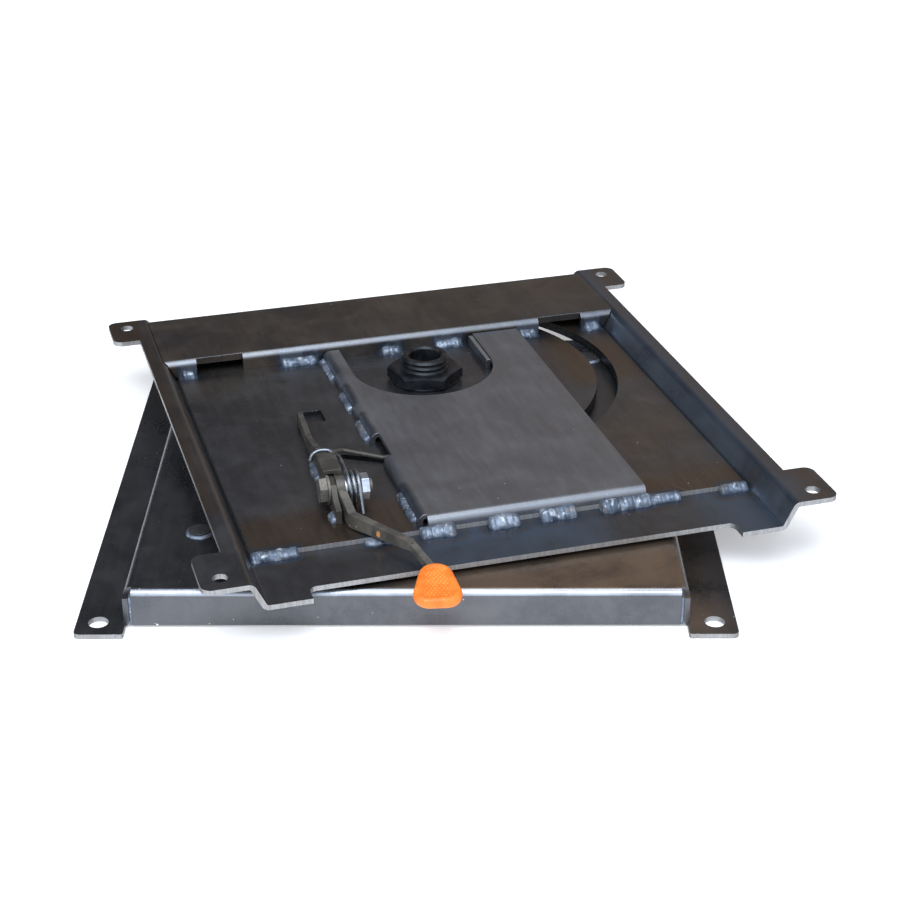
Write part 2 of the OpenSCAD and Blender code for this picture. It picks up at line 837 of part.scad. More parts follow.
// Pin that rides over the base and drops into one of its slots when the lever rises
module lock_pin() color(zinc) turned() {
  top = rod_low + rod_d / 2 - 0.1;
  difference() {
    translate([pin_u, pin_v, pin_low]) {
      cylinder(h = 1, d1 = pin_d - 2, d2 = pin_d);
      translate([0, 0, 1 - eps]) cylinder(h = top - pin_low - 1, d = pin_d);
    }
    rod_between(rod_path[3], rod_path[4], rod_d);
  }
}

// Torsion spring: close coils, a leg to the floor and a hook over the bracket
module torsion_spring() color(zinc) at_lever() {
  low = floor_top - bolt_z;
  x0 = coil_x + wire_d / 2;
  x1 = x0 + (coil_turns - 1) * coil_pitch;
  for (i = [0 : coil_turns - 1]) {
    translate([x0 + i * coil_pitch, 0, 0]) rotate([0, 90, 0])
      rotate_extrude() translate([coil_r, 0]) circle(d = wire_d);
  }
  bent_rod([[x1, -coil_r - 3, 4], [x1, -coil_r - 4, -4], [x1, -19, low + 1.8]], wire_d - 0.2);
  bent_rod([
    [x0, coil_r + 3, 0],
    [x0, hook_y - 13, 5],
    [x0 - 1, hook_y - 6, hook_z - 1],
    [x0 - 4, hook_y - 1.5, hook_z + 0.5],
    [x0 - 8, hook_y, hook_z + 0.8],
    [bracket_x - 1, hook_y, hook_z + 0.8],
    [bracket_x - 4, hook_y - 0.5, hook_z - 1],
    [bracket_x - 6, hook_y - 1, hook_z - 5],
  ], wire_d - 0.2);
}

base_pan();
base_corner_welds();
glide_pads();
glide_welds();
pivot_spigot();
spigot_weld();
friction_ring();
stop_stud();
pivot_washer();
pivot_nut();
upper_tray();
floor_plate();
floor_welds();
back_rail();
rail_welds();
centre_cover();
cover_rib();
cover_welds();
lever_bracket();
bracket_welds();
lever_bolt();
bolt_washer();
spring_sleeve();
lever_nut();
lever_bar();
lever_stop();
lever_grip();
release_rod();
lock_pin();
torsion_spring();
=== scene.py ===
# Looks of the locking seat swivel: bevelled sheet metal, weld beads, spring, rod and grip.
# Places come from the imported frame; the lever's own parts are drawn in the lever's frame.
# Lengths are metres.
import json
import math

import bmesh
import bpy
import numpy as np
from mathutils import Matrix, Vector, noise


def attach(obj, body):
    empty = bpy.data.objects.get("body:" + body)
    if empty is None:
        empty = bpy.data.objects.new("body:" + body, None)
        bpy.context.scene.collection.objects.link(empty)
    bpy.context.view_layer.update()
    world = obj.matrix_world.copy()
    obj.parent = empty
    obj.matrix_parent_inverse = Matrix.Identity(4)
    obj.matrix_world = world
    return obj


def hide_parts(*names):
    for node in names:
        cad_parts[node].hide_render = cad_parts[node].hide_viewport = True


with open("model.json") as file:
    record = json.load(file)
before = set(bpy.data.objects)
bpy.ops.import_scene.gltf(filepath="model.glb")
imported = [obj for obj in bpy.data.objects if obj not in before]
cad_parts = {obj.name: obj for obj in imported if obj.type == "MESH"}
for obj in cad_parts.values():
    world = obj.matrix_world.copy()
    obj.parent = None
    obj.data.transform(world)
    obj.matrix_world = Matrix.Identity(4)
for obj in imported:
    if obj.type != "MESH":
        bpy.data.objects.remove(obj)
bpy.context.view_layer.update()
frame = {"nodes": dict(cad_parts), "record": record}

MM = 0.001
# How far the turntable stands turned at rest, and the lever on it
REST_TURN = math.radians(16.5)
LEVER_TOE = math.radians(-3.0)
# Thickness of every folded sheet
SHEET = 3.5 * MM
# The cut-outs within this distance from the pivot lie in shade
CUTOUT_R = 175 * MM
# Nearest that two points of the CAD are taken as one
WELD_DIST = 0.002 * MM
# Width of the studio floor
FLOOR_SIZE = 12.0

BODY_OF = {n: b for b, members in frame["record"]["behaviour"]["bodies"].items() for n in members}
# The turntable's frame, and the lever's frame: origin on the lever bolt
TURNED = Matrix.Rotation(REST_TURN, 4, "Z")
LEVER_BOLT = Vector((-111.1, -178.5, 50)) * MM
LEVER = TURNED @ Matrix.Translation(LEVER_BOLT) @ Matrix.Rotation(LEVER_TOE, 4, "Z")


# ---------------------------------------------------------------- reading the frame

def node_points(node, space=Matrix.Identity(4)):
    """Corners of a CAD node as an array, in the given space."""
    back = np.array(space.inverted())
    co = np.array([v.co for v in frame["nodes"][node].data.vertices], float)
    return co @ back[:3, :3].T + back[:3, 3]


def span(points):
    """Lowest and highest corner of some points."""
    return Vector(points.min(0)), Vector(points.max(0))


def solids(node, space=Matrix.Identity(4)):
    """Boxes of the separate solids of a CAD node, in the given space."""
    bm = bmesh.new()
    bm.from_mesh(frame["nodes"][node].data)
    bmesh.ops.remove_doubles(bm, verts=bm.verts, dist=WELD_DIST)
    back = space.inverted()
    left = set(bm.verts)
    boxes = []
    while left:
        start = left.pop()
        found = [start]
        queue = [start]
        while queue:
            for e in queue.pop().link_edges:
                for v in e.verts:
                    if v in left:
                        left.remove(v)
                        found.append(v)
                        queue.append(v)
        boxes.append(span(np.array([back @ v.co for v in found])))
    bm.free()
    return sorted(boxes, key=lambda b: (round(b[0].x, 4), round(b[0].y, 4)))


# ---------------------------------------------------------------- making meshes

def keep(name, bm, body, materials, nodes=(), smooth=40.0):
    """Turns a bmesh into a piece that rides on a body and stands for CAD nodes."""
    bmesh.ops.recalc_face_normals(bm, faces=bm.faces)
    mesh = bpy.data.meshes.new(name)
    bm.to_mesh(mesh)
    bm.free()
    mesh.polygons.foreach_set("use_smooth", [True] * len(mesh.polygons))
    mesh.set_sharp_from_angle(angle=math.radians(smooth))
    for m in materials:
        mesh.materials.append(m)
    obj = bpy.data.objects.new(name, mesh)
    bpy.context.scene.collection.objects.link(obj)
    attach(obj, body)
    if nodes:
        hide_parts(*nodes)
    return obj


def is_cut_edge(face):
    """True for the sheared or sawn edge of a sheet: as wide as the sheet is thick."""
    outline = sum(e.calc_length() for e in face.edges)
    wide = 2 * face.calc_area() / outline
    zs = [v.co.z for v in face.verts]
    tall = max(zs) - min(zs)
    strip = 0.84 * SHEET < wide < 1.06 * SHEET
    wall = abs(face.normal.z) < 0.05 and 0.94 * SHEET < tall < 1.06 * SHEET
    return strip or wall


def skin(node, materials, bevel=0.35 * MM):
    """Bevelled copy of a CAD node; its cut edges take the second material, and those of
    the cut-outs round the pivot take the third, which may be a darker steel as painted shade."""
    bm = bmesh.new()
    bm.from_mesh(frame["nodes"][node].data)
    bmesh.ops.remove_doubles(bm, verts=bm.verts, dist=WELD_DIST)
    bmesh.ops.dissolve_limit(bm, angle_limit=math.radians(0.4), verts=bm.verts, edges=bm.edges)
    bm.normal_update()
    if len(materials) > 1:
        for f in bm.faces:
            if is_cut_edge(f):
                inner = f.calc_center_median().xy.length < CUTOUT_R
                f.material_index = 2 if inner and len(materials) > 2 else 1
    sharp = [e for e in bm.edges if len(e.link_faces) == 2 and e.calc_face_angle(0) > math.radians(32)]
    bmesh.ops.bevel(bm, geom=sharp, offset=bevel, segments=2, profile=0.6, affect="EDGES",
                    clamp_overlap=True)
    bmesh.ops.triangulate(bm, faces=[f for f in bm.faces if len(f.verts) > 4])
    piece = keep(node + "_skin", bm, BODY_OF[node], materials, [node], smooth=50)
    even = piece.modifiers.new("even_shading", "WEIGHTED_NORMAL")
    even.mode = "FACE_AREA"
    even.keep_sharp = True
    return piece


def join_rings(bm, rings):
    """Closed body over a list of rings of points, each as long as the next."""
    count = len(rings[0])
    for a, b in zip(rings, rings[1:]):
        for k in range(count):
            n = (k + 1) % count
            bm.faces.new((a[k], a[n], b[n], b[k]))
    bm.faces.new(rings[0][::-1])
    bm.faces.new(rings[-1])


def tube(bm, points, radius, sides=16):
    """Closed round tube along a smooth list of points."""
    rings = []
    normal = None
    count = len(points)
    for i, p in enumerate(points):
        ahead = points[min(i + 1, count - 1)]
        behind = points[max(i - 1, 0)]
        along = (ahead - behind).normalized()
        if normal is None:
            normal = along.orthogonal().normalized()
        normal = (normal - along * normal.dot(along)).normalized()
        side = along.cross(normal)
        ring = []
        for k in range(sides):
            a = 2 * math.pi * k / sides
            ring.append(bm.verts.new(p + radius * (math.cos(a) * normal + math.sin(a) * side)))
        rings.append(ring)
    join_rings(bm, rings)


def rounded(points, radius, steps=7):
    """Polyline with every inner corner turned into an arc-like curve."""
    out = [points[0]]
    for a, b, c in zip(points, points[1:], points[2:]):
        reach_a = min(radius, 0.45 * (a - b).length)
        reach_c = min(radius, 0.45 * (c - b).length)
        start = b + (a - b).normalized() * reach_a
        end = b + (c - b).normalized() * reach_c
        for k in range(steps + 1):
            t = k / steps
            out.append((1 - t) ** 2 * start + 2 * t * (1 - t) * b + t * t * end)
    out.append(points[-1])
    return out


def bead(bm, box, space, run, fat=1.0, seed=0, longer=0.0, room=math.inf):
    """Rippled weld bead in the corner that is held by the box of one CAD bead.

    It runs on axis 0 or 1 of its space, and its round side faces up and to the low end of
    the other axis. room is the height that it may rise to."""
    out = 1 - run
    lo, hi = box[0].copy(), box[1].copy()
    lo[run] -= longer
    hi[run] += longer
    size = hi - lo
    length = size[run]
    rise = min(size.z * (0.6 + 0.5 * fat), room)
    reach = size[out] * fat
    corner = lo.copy()
    corner[out] = hi[out]
    pitch = (3.6 + 0.9 * math.sin(seed * 1.9)) * MM
    taper = 2.2 * MM
    steps = max(16, int(length / (0.45 * MM)))
    arcs = 11
    rings = []
    for i in range(steps + 1):
        t = i / steps
        s = t * length
        end = min(1.0, math.sqrt(max(0.0, 1 - abs(2 * t - 1) ** (length / taper))))
        ripple = (s / pitch) % 1.0
        scallop = 0.86 + 0.05 * math.sqrt(max(0.0, 1 - (2 * ripple - 1) ** 2))
        wander = 0.20 * noise.noise(Vector((s / (9 * MM), seed * 3.1, 0.3)))
        back = corner.copy()
        back[run] = lo[run] + s
        ring = []
        for k in range(arcs + 1):
            a = math.pi / 2 * k / arcs
            lag = 0.35 * pitch * math.sin(2 * a)
            lump = 0.12 * noise.noise(Vector(((s + lag) / (4.5 * MM), 1.3 * a, seed * 1.7)))
            r = (0.30 + 0.70 * end) * (scallop + wander + lump)
            p = back.copy()
            p[out] -= reach * r * math.cos(a)
            p.z += rise * r * math.sin(a)
            ring.append(bm.verts.new(space @ p))
        ring.append(bm.verts.new(space @ back))
        rings.append(ring)
    join_rings(bm, rings)


# ---------------------------------------------------------------- node materials

class Net:
    """Short way to write a node tree: sockets and plain values are both inputs."""

    def __init__(self, tree):
        self.tree = tree
        tree.nodes.clear()

    def add(self, kind, **settings):
        n = self.tree.nodes.new(kind)
        for key, value in settings.items():
            setattr(n, key, value)
        return n

    def feed(self, socket, value):
        if isinstance(value, bpy.types.NodeSocket):
            self.tree.links.new(value, socket)
        else:
            socket.default_value = value

    def math(self, op, a, b=0.0):
        n = self.add("ShaderNodeMath", operation=op)
        for socket, value in zip(n.inputs, (a, b)):
            self.feed(socket, value)
        return n.outputs[0]

    def mix(self, fac, a, b, blend="MIX"):
        n = self.add("ShaderNodeMix", data_type="RGBA", blend_type=blend)
        self.feed(n.inputs[0], fac)
        self.feed(n.inputs[6], a)
        self.feed(n.inputs[7], b)
        return n.outputs[2]

    def coords(self, turn=0.0, stretch=(1, 1, 1)):
        """Object coordinates in metres, turned back about Z and stretched."""
        t = self.add("ShaderNodeTexCoord")
        m = self.add("ShaderNodeMapping", vector_type="TEXTURE")
        self.feed(m.inputs["Vector"], t.outputs["Object"])
        m.inputs["Rotation"].default_value = (0, 0, turn)
        m.inputs["Scale"].default_value = tuple(1 / s for s in stretch)
        return m.outputs[0]

    def noise(self, at, scale, detail=4.0, rough=0.55, warp=0.0):
        n = self.add("ShaderNodeTexNoise")
        self.feed(n.inputs["Vector"], at)
        n.inputs["Scale"].default_value = scale
        n.inputs["Detail"].default_value = detail
        n.inputs["Roughness"].default_value = rough
        n.inputs["Distortion"].default_value = warp
        return n.outputs["Fac"]

    def step(self, value, low, high, out_low=0.0, out_high=1.0):
        """Smooth ramp of a value from low to high."""
        n = self.add("ShaderNodeMapRange", interpolation_type="SMOOTHSTEP")
        self.feed(n.inputs["Value"], value)
        n.inputs["From Min"].default_value = low
        n.inputs["From Max"].default_value = high
        n.inputs["To Min"].default_value = out_low
        n.inputs["To Max"].default_value = out_high
        return n.outputs[0]

    def specks(self, at, scale, size, share):
        """Mask of tiny round dots on a share of the cells."""
        v = self.add("ShaderNodeTexVoronoi", feature="F1")
        self.feed(v.inputs["Vector"], at)
        v.inputs["Scale"].default_value = scale
        dot = self.step(v.outputs["Distance"], size, size * 0.6)
        parts = self.add("ShaderNodeSeparateColor")
        self.feed(parts.inputs[0], v.outputs["Color"])
        chosen = self.math("LESS_THAN", parts.outputs[0], share)
        return self.math("MULTIPLY", dot, chosen)

    def normal(self):
        """X, Y and Z of the direction that the surface faces, on the object."""
        t = self.add("ShaderNodeTexCoord")
        return self.split(t.outputs["Normal"])

    def facing_up(self):
        """1 on level faces that look up."""
        return self.step(self.normal()[2], 0.75, 0.95)

    def facing_front(self):
        """1 on walls that look forward."""
        return self.step(self.normal()[1], -0.6, -0.9)

    def folds(self):
        """1 on the rounded outer folds and edges that look forward and up."""
        normal = self.normal()
        risen = self.step(normal[2], 0.22, 0.45)
        not_level = self.step(normal[2], 0.975, 0.88)
        tilt = self.math("MULTIPLY", risen, not_level)
        return self.math("MULTIPLY", tilt, self.step(normal[1], -0.15, -0.4))

    def split(self, at):
        n = self.add("ShaderNodeSeparateXYZ")
        self.feed(n.inputs[0], at)
        return n.outputs

    def near(self, at, box, reach, axes=(0, 1)):
        """1 on a box of the plane, falling to 0 at the given reach from it."""
        xyz = self.split(at)
        total = None
        for i in axes:
            mid = (box[0][i] + box[1][i]) / 2
            half = (box[1][i] - box[0][i]) / 2
            away = self.math("ABSOLUTE", self.math("SUBTRACT", xyz[i], mid))
            past = self.math("MAXIMUM", self.math("SUBTRACT", away, half), 0.0)
            square = self.math("MULTIPLY", past, past)
            total = square if total is None else self.math("ADD", total, square)
        return self.step(self.math("SQRT", total), reach, 0.0)

    def most(self, values):
        out = values[0]
        for v in values[1:]:
            out = self.math("MAXIMUM", out, v)
        return out

    def bump(self, height, strength, distance):
        n = self.add("ShaderNodeBump")
        self.feed(n.inputs["Height"], height)
        n.inputs["Strength"].default_value = strength
        n.inputs["Distance"].default_value = distance
        return n.outputs[0]

    def surface(self, color, rough, normal=None, metallic=0.0, ior=1.5):
        p = self.add("ShaderNodeBsdfPrincipled")
        self.feed(p.inputs["Base Color"], color)
        self.feed(p.inputs["Roughness"], rough)
        p.inputs["IOR"].default_value = ior
        self.feed(p.inputs["Metallic"], metallic)
        if normal is not None:
            self.feed(p.inputs["Normal"], normal)
        out = self.add("ShaderNodeOutputMaterial")
        self.feed(out.inputs["Surface"], p.outputs[0])
        return p


def material(name):
    """New material and the net that its nodes go in."""
    m = bpy.data.materials.new(name)
    m.use_nodes = True
    return m, Net(m.node_tree)


def rgb(r, g, b, light=1.0):
    """Linear colour, darker or lighter by a factor."""
    return (r * light, g * light, b * light, 1.0)


def mill_steel(name, turn, shade=1.0, warm=0.5, rough=0.36, even=0.0, heat=(), reach=16 * MM,
               blue=(), brown=(), brown_reach=60 * MM, brown_light=1.0, fold_light=1.0,
               front_wall_painted_light=1.0):
    """Hot-rolled sheet: dark scale with warm and blue clouds, rolling marks and specks.

    heat holds the boxes of weld beads, whose heat colours fade over reach; blue and brown
    hold patches of the sheet. even takes contrast out of the scale."""
    m, n = material(name)
    at = n.coords(turn)
    along = n.coords(turn, (1.0, 0.12, 1.0))
    clouds = n.noise(at, 5.0, 5.0, 0.5, 0.5)
    patches = n.noise(at, 26.0, 6.0, 0.6, 0.4)
    streaks = n.noise(along, 180.0, 3.0, 0.6)
    grain = n.noise(at, 1600.0, 2.0, 0.6)
    dark = (0.118 + 0.03 * even) * shade
    light = (0.172 - 0.01 * even) * shade
    grey = n.mix(n.step(patches, 0.3, 0.75), rgb(0.95, 0.99, 1.12, dark),
                 rgb(0.98, 1.0, 1.08, light))
    rust = n.mix(n.step(patches, 0.3, 0.7), rgb(0.140, 0.110, 0.082, shade),
                 rgb(0.215, 0.170, 0.125, shade))
    warm_mask = n.step(clouds, 0.66 - 0.34 * warm, 0.92 - 0.3 * warm)
    warm_mask = n.math("MULTIPLY", warm_mask, n.step(patches, 0.2, 0.6, 0.45, 0.9))
    color = n.mix(n.math("MULTIPLY", warm_mask, 0.8), grey, rust)
    # Brown stains on faces that look up; a brown_light above 1 also paints a pool of light over them.
    if brown:
        extra = n.most([n.near(at, b, brown_reach) for b in brown])
        extra = n.math("MULTIPLY", extra, n.step(patches, 0.1, 0.55))
        extra = n.math("MULTIPLY", extra, n.facing_up())
        color = n.mix(extra, color, rgb(0.200, 0.145, 0.105, brown_light))
    streak = n.step(streaks, 0.35, 0.75, 0.0, 0.2)
    color = n.mix(streak, color, rgb(0.22, 0.22, 0.23, shade))
    if blue:
        tint = n.most([n.near(at, b, 45 * MM) for b in blue])
        tint = n.math("MULTIPLY", tint, n.step(patches, 0.1, 0.55))
        color = n.mix(n.math("MULTIPLY", tint, 0.8), color, rgb(0.105, 0.150, 0.215))
    if heat:
        wide = n.most([n.near(at, b, reach) for b in heat])
        wobble = n.math("MULTIPLY", n.math("SUBTRACT", n.noise(at, 70.0, 3.0), 0.5), 0.55)
        close = n.math("ADD", wide, n.math("MULTIPLY", wobble, n.step(wide, 0.0, 0.3)))
        color = n.mix(n.step(close, 0.05, 0.45, 0.0, 0.5), color, rgb(0.105, 0.080, 0.062))
        color = n.mix(n.step(close, 0.4, 0.85, 0.0, 0.7), color, rgb(0.070, 0.095, 0.140))
        color = n.mix(n.step(close, 0.93, 1.0, 0.0, 0.6), color, rgb(0.20, 0.23, 0.275))
    dots = n.specks(at, 95.0, 0.07, 0.10)
    fine = n.specks(at, 260.0, 0.12, 0.06)
    marks = n.math("MAXIMUM", dots, n.math("MULTIPLY", fine, 0.6))
    color = n.mix(marks, color, rgb(0.62, 0.62, 0.60))
    scratch = n.noise(n.coords(turn + 0.5, (1.0, 0.02, 1.0)), 420.0, 2.0, 0.5)
    scuffs = n.step(scratch, 0.68, 0.78, 0.0, 0.25)
    color = n.mix(n.math("MULTIPLY", scuffs, n.step(clouds, 0.45, 0.6)), color, rgb(0.36, 0.36, 0.37))
    # Painted highlight on folds and edges that face forward and up, mixed with rubbed wear: a paler
    # steel where light catches them.
    fold_highlight_and_wear = n.math("MULTIPLY", n.folds(), n.step(patches, 0.2, 0.6, 0.6, 1.0))
    color = n.mix(n.math("MULTIPLY", fold_highlight_and_wear, 0.8), color,
                  rgb(0.34, 0.365, 0.41, fold_light))
    # Painted light: walls that face forward are made lighter, as if lit from the front.
    if front_wall_painted_light != 1.0:
        color = n.mix(n.facing_front(), color, rgb(1, 1, 1, front_wall_painted_light), "MULTIPLY")
    gloss = n.math("ADD", n.step(patches, 0.25, 0.75, rough - 0.06, rough + 0.1),
                   n.step(streaks, 0.3, 0.8, -0.03, 0.05))
    normal = n.bump(n.math("ADD", n.math("MULTIPLY", patches, 0.5), n.math("MULTIPLY", grain, 0.08)),
                    0.18, 0.25 * MM)
    n.surface(color, gloss, normal, metallic=0.88)
    return m


def cut_steel(name, turn):
    """Sheared edge of the sheet: pale, with fine upright drag lines, and painted light on edges that
    face forward.
    """
    m, n = material(name)
    at = n.coords(turn)
    lines = n.noise(n.coords(turn, (1, 1, 0.05)), 900.0, 3.0, 0.6)
    clouds = n.noise(at, 40.0, 4.0)
    color = n.mix(n.step(lines, 0.3, 0.7), rgb(0.165, 0.165, 0.165),
                  rgb(0.235, 0.235, 0.235))
    color = n.mix(n.step(clouds, 0.45, 0.8, 0.0, 0.5), color, rgb(0.135, 0.118, 0.098))
    # Painted light: cut edges that face forward are made lighter, as if lit from the front.
    color = n.mix(n.facing_front(), color, rgb(1.75, 1.75, 1.78), "MULTIPLY")
    normal = n.bump(lines, 0.3, 0.15 * MM)
    n.surface(color, n.step(clouds, 0.3, 0.7, 0.38, 0.55), normal, metallic=0.55)
    return m


def weld_metal(name):
    """Silvery-blue weld with straw and violet heat colours in its ripples."""
    m, n = material(name)
    at = n.coords()
    fine = n.noise(at, 300.0, 2.0, 0.45)
    broad = n.noise(at, 85.0, 3.0, 0.5, 0.8)
    color = n.mix(n.step(broad, 0.35, 0.65), rgb(0.10, 0.13, 0.18), rgb(0.24, 0.285, 0.36))
    color = n.mix(n.step(fine, 0.55, 0.75, 0.0, 0.6), color, rgb(0.09, 0.095, 0.12))
    color = n.mix(n.step(n.noise(at, 60.0, 3.0), 0.56, 0.72, 0.0, 0.55), color, rgb(0.20, 0.16, 0.12))
    rims = n.noise(at, 150.0, 2.0, 0.4, 1.2)
    color = n.mix(n.step(rims, 0.58, 0.68, 0.0, 0.7), color, rgb(0.50, 0.55, 0.62))
    normal = n.bump(fine, 0.25, 0.3 * MM)
    n.surface(color, n.step(fine, 0.3, 0.7, 0.42, 0.6), normal, metallic=0.7)
    return m


def black_steel(name):
    """Oiled black forging with bright rubbed spots."""
    m, n = material(name)
    at = n.coords()
    clouds = n.noise(at, 90.0, 5.0, 0.6)
    fine = n.noise(at, 900.0, 3.0)
    color = n.mix(n.step(clouds, 0.35, 0.7), rgb(0.010, 0.012, 0.016), rgb(0.032, 0.035, 0.042))
    color = n.mix(n.step(fine, 0.66, 0.76, 0.0, 0.4), color, rgb(0.11, 0.10, 0.09))
    normal = n.bump(fine, 0.25, 0.2 * MM)
    n.surface(color, n.step(clouds, 0.3, 0.7, 0.3, 0.46), normal, metallic=0.6)
    return m


def zinc_plate(name, light=1.0):
    """Bright zinc with a cool clouded bloom."""
    m, n = material(name)
    at = n.coords()
    clouds = n.noise(at, 160.0, 4.0, 0.6)
    color = n.mix(n.step(clouds, 0.3, 0.7), rgb(0.42, 0.47, 0.55, light),
                  rgb(0.66, 0.71, 0.78, light))
    dirt = n.step(n.noise(at, 420.0, 4.0, 0.7), 0.58, 0.72, 0.0, 0.6)
    color = n.mix(dirt, color, rgb(0.16, 0.155, 0.15))
    n.surface(color, n.step(clouds, 0.3, 0.7, 0.2, 0.36), n.bump(clouds, 0.12, 0.2 * MM), metallic=0.9)
    return m


def lever_steel(name, fleck=None, shade=1.0):
    """Dusty brown-grey bar; a fleck of the grip's orange sticks near its middle."""
    m, n = material(name)
    at = n.coords(REST_TURN)
    clouds = n.noise(at, 60.0, 5.0, 0.6, 0.5)
    fine = n.noise(at, 900.0, 3.0, 0.65)
    color = n.mix(n.step(clouds, 0.35, 0.65), rgb(0.085, 0.080, 0.072, shade),
                  rgb(0.165, 0.152, 0.132, shade))
    color = n.mix(n.step(fine, 0.5, 0.72, 0.0, 0.5), color, rgb(0.05, 0.048, 0.045))
    color = n.mix(n.specks(at, 240.0, 0.16, 0.12), color, rgb(0.55, 0.54, 0.50))
    if fleck is not None:
        spot = n.near(at, (fleck - Vector((1.6, 0.5, 1)) * MM, fleck + Vector((1.6, 0.5, 1)) * MM),
                      2.2 * MM, (0, 1, 2))
        ragged = n.math("MULTIPLY", spot, n.step(n.noise(at, 700.0, 3.0), 0.32, 0.45))
        color = n.mix(n.step(ragged, 0.3, 0.5), color, rgb(0.85, 0.36, 0.12))
    normal = n.bump(n.math("ADD", fine, clouds), 0.3, 0.25 * MM)
    n.surface(color, n.step(clouds, 0.3, 0.7, 0.42, 0.6), normal, metallic=0.45)
    return m


def orange_grip(name, pale=1.0):
    """Moulded orange vinyl, a little dusty in its hollows."""
    m, n = material(name)
    at = n.coords(REST_TURN)
    clouds = n.noise(at, 120.0, 4.0)
    fine = n.noise(at, 1500.0, 2.0)
    color = n.mix(n.step(clouds, 0.3, 0.7), rgb(0.80, 0.170 * pale, 0.016 * pale * pale),
                  rgb(0.88, 0.235 * pale, 0.030 * pale * pale))
    color = n.mix(n.step(n.noise(at, 380.0, 4.0), 0.58, 0.75, 0.0, 0.35), color, rgb(0.98, 0.52, 0.20))
    normal = n.bump(fine, 0.15, 0.1 * MM)
    n.surface(color, n.step(clouds, 0.3, 0.7, 0.34, 0.5), normal, ior=1.46)
    return m


def black_plastic(name):
    """Dull black plastic."""
    m, n = material(name)
    at = n.coords()
    fine = n.noise(at, 700.0, 4.0)
    color = n.mix(fine, rgb(0.012, 0.012, 0.014), rgb(0.035, 0.035, 0.038))
    n.surface(color, n.step(fine, 0.3, 0.7, 0.35, 0.6), n.bump(fine, 0.2, 0.1 * MM))
    return m


# ---------------------------------------------------------------- measures from the frame

tray_lo, tray_hi = span(node_points("upper_tray", TURNED))
cover_lo, cover_hi = span(node_points("centre_cover", TURNED))
bar_lo, bar_hi = span(node_points("lever_bar", TURNED))

floor_beads = solids("floor_welds", TURNED)
rail_beads = solids("rail_welds", TURNED)
cover_beads = solids("cover_welds", TURNED)
bracket_beads = solids("bracket_welds", LEVER)


def across_front(b):
    """True for a bead of the cover that runs along its front edge."""
    return b[1].y < cover_lo.y + 6 * MM and b[1].y - b[0].y < 10 * MM


cover_front_beads = [b for b in cover_beads if across_front(b)]
cover_side_beads = [b for b in cover_beads if not across_front(b)]
front_heat = floor_beads + cover_front_beads


def patch(x0, y0, x1, y1):
    """Patch of a sheet, from millimetres in the frame of its own body."""
    return Vector((x0, y0, 0)) * MM, Vector((x1, y1, 0)) * MM


def tray_strip(x0, x1, front=tray_lo.y):
    """Strip of the tray from its rear edge to the given front."""
    return Vector((x0, front, 0)), Vector((x1, tray_hi.y, 0))


# ---------------------------------------------------------------- materials

cut_base = cut_steel("cut_edge_base", 0.0)
cut_top = cut_steel("cut_edge_turntable", REST_TURN)
weld = weld_metal("weld_metal")
black = black_steel("black_forging")
zinc = zinc_plate("zinc")
spring_wire = zinc_plate("spring_wire", 0.42)
plastic = black_plastic("black_plastic")
orange = orange_grip("orange_vinyl")
# Painted highlight: the raised dots take a paler copy of the grip's vinyl, as where light catches
# them.
orange_dots_painted_highlight = orange_grip("orange_dots_painted_highlight", 1.6)

floor_corner = patch(95, -226, 200, -212)
floor_left = patch(-170, -226, -80, -195)
slot_side = patch(120, -30, 150, 90)
steel_floor = mill_steel(
    "mill_steel_floor", REST_TURN, shade=0.76, warm=0.6, rough=0.28, heat=front_heat + rail_beads,
    brown=[floor_corner, floor_left, slot_side], brown_reach=30 * MM, brown_light=0.62)

web_right = tray_strip(tray_hi.x - 62 * MM, tray_hi.x - 42 * MM)
right_rail = tray_strip(tray_hi.x - 30 * MM, tray_hi.x - 12 * MM)
left_rail = tray_strip(tray_lo.x, tray_lo.x + 20 * MM, tray_lo.y + 100 * MM)
front_middle = patch(-60, -262, 30, -236)
steel_tray = mill_steel(
    "mill_steel_tray", REST_TURN, shade=0.68, warm=0.5, rough=0.3, heat=front_heat,
    blue=[web_right, front_middle], brown=[right_rail, left_rail], brown_reach=14 * MM,
    brown_light=0.55)

steel_rail = mill_steel(
    "mill_steel_rail", REST_TURN, shade=0.66, warm=1.3, heat=rail_beads, reach=9 * MM,
    fold_light=0.8)
steel_cover = mill_steel(
    "mill_steel_cover", REST_TURN, shade=1.48, warm=0.1, even=1.0, heat=cover_side_beads,
    reach=8 * MM, fold_light=0.85)
# The base's brown patch is lifted above its rust tone as a painted pool of warm light over a real
# brown stain; its front walls get painted light.
steel_base = mill_steel(
    "mill_steel_base", 0.0, shade=0.56, warm=0.2, rough=0.3, brown=[patch(20, -285, 150, -200)],
    brown_reach=70 * MM, brown_light=1.4, fold_light=1.15, front_wall_painted_light=1.65)
# Painted shade: a much darker copy of the sheet steel for the cut edges round the pivot, where shade
# falls.
steel_painted_shade = mill_steel("mill_steel_cut_outs_painted_shade", REST_TURN, shade=0.3, warm=0.6, rough=0.4)
steel_bracket = lever_steel("bracket_steel", shade=0.62)
bolt_steel = lever_steel("bolt_steel", shade=1.5)

# ---------------------------------------------------------------- sheet metal

skin("base_pan", [steel_base, cut_base])
skin("upper_tray", [steel_tray, cut_top, steel_painted_shade])
skin("floor_plate", [steel_floor, cut_top, steel_painted_shade])
skin("back_rail", [steel_rail, cut_top])
skin("centre_cover", [steel_cover, cut_top, steel_cover])
skin("cover_rib", [steel_cover, cut_top])
skin("lever_bracket", [steel_bracket])

# ---------------------------------------------------------------- welds

# Axis that a bead runs on
ACROSS, FORE_AND_AFT = 0, 1

